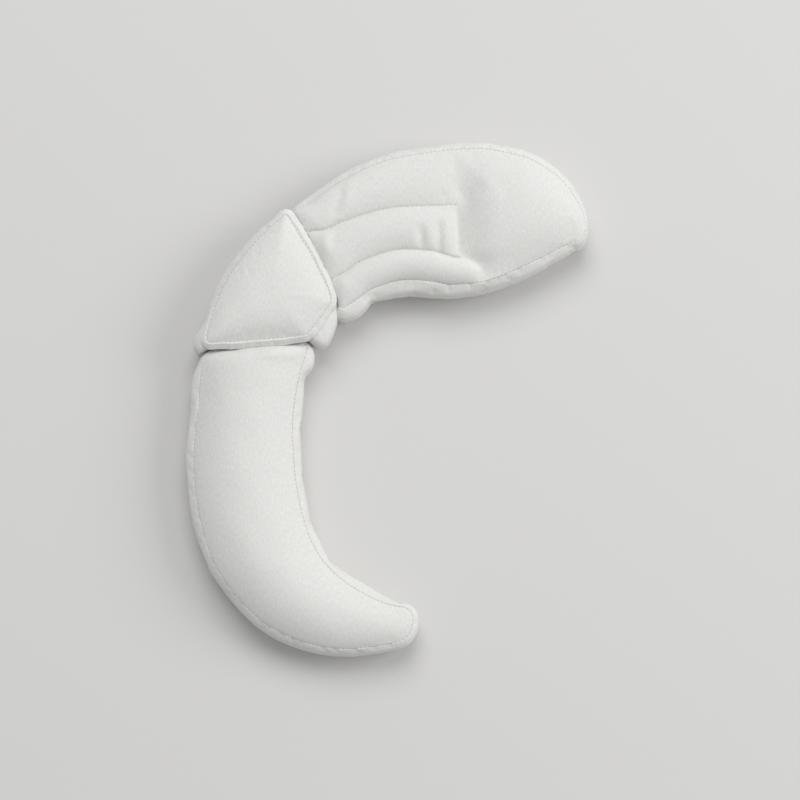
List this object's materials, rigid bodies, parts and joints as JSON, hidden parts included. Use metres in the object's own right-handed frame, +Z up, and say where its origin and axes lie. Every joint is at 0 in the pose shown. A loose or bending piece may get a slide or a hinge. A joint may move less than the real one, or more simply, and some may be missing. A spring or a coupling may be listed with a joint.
{
  "type": "crescent pillow",
  "caption": "C-shaped filled support pillow in plain off-white woven cotton, with boxed sides, a flanged wedge panel between its arms, and quilted channels on the broader arm.",
  "frame": {"origin": "middle of the pillow's bounding box, at the plane it lies on", "axes": "+Z up out of the top panels, +Y towards the broader arm, +X towards the open side of the C"},
  "size_m": [0.438, 0.5648, 0.07],
  "materials": {
    "cloth": "matt off-white woven cotton"
  },
  "bodies": {
    "root": {"lower_cushion": "cloth", "upper_cushion": "cloth", "wedge_cushion": "cloth", "wedge_flange": "cloth"}
  },
  "joints": []
}
